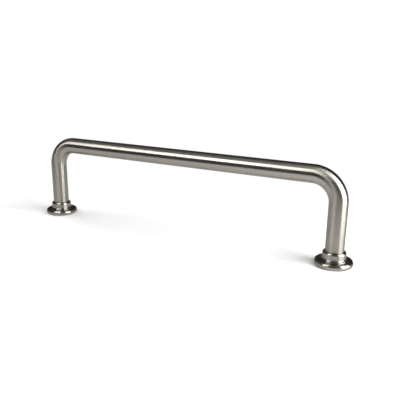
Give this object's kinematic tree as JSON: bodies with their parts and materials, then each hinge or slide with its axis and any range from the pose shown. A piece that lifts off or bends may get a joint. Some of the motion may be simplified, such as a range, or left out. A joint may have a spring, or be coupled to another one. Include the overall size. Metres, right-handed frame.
{
  "type": "bridge pull handle",
  "caption": "Bridge pull handle: a round bar bent down at both ends, each leg standing in a turned collar and tapped for a screw from behind.",
  "frame": {"origin": "on the mounting face, midway between the axes of the two legs", "axes": "+X along the bar, +Z out of the door towards the hand, +Y across the bar"},
  "size_m": [0.1773, 0.0172, 0.0445],
  "materials": {
    "brushed_bar": "satin, brushed round the bar",
    "turned_collar": "fine turned, a little darker and crisper than the bar"
  },
  "bodies": {
    "root": {"grip_bar": "brushed_bar", "collar_left": "turned_collar", "collar_right": "turned_collar"}
  },
  "joints": []
}
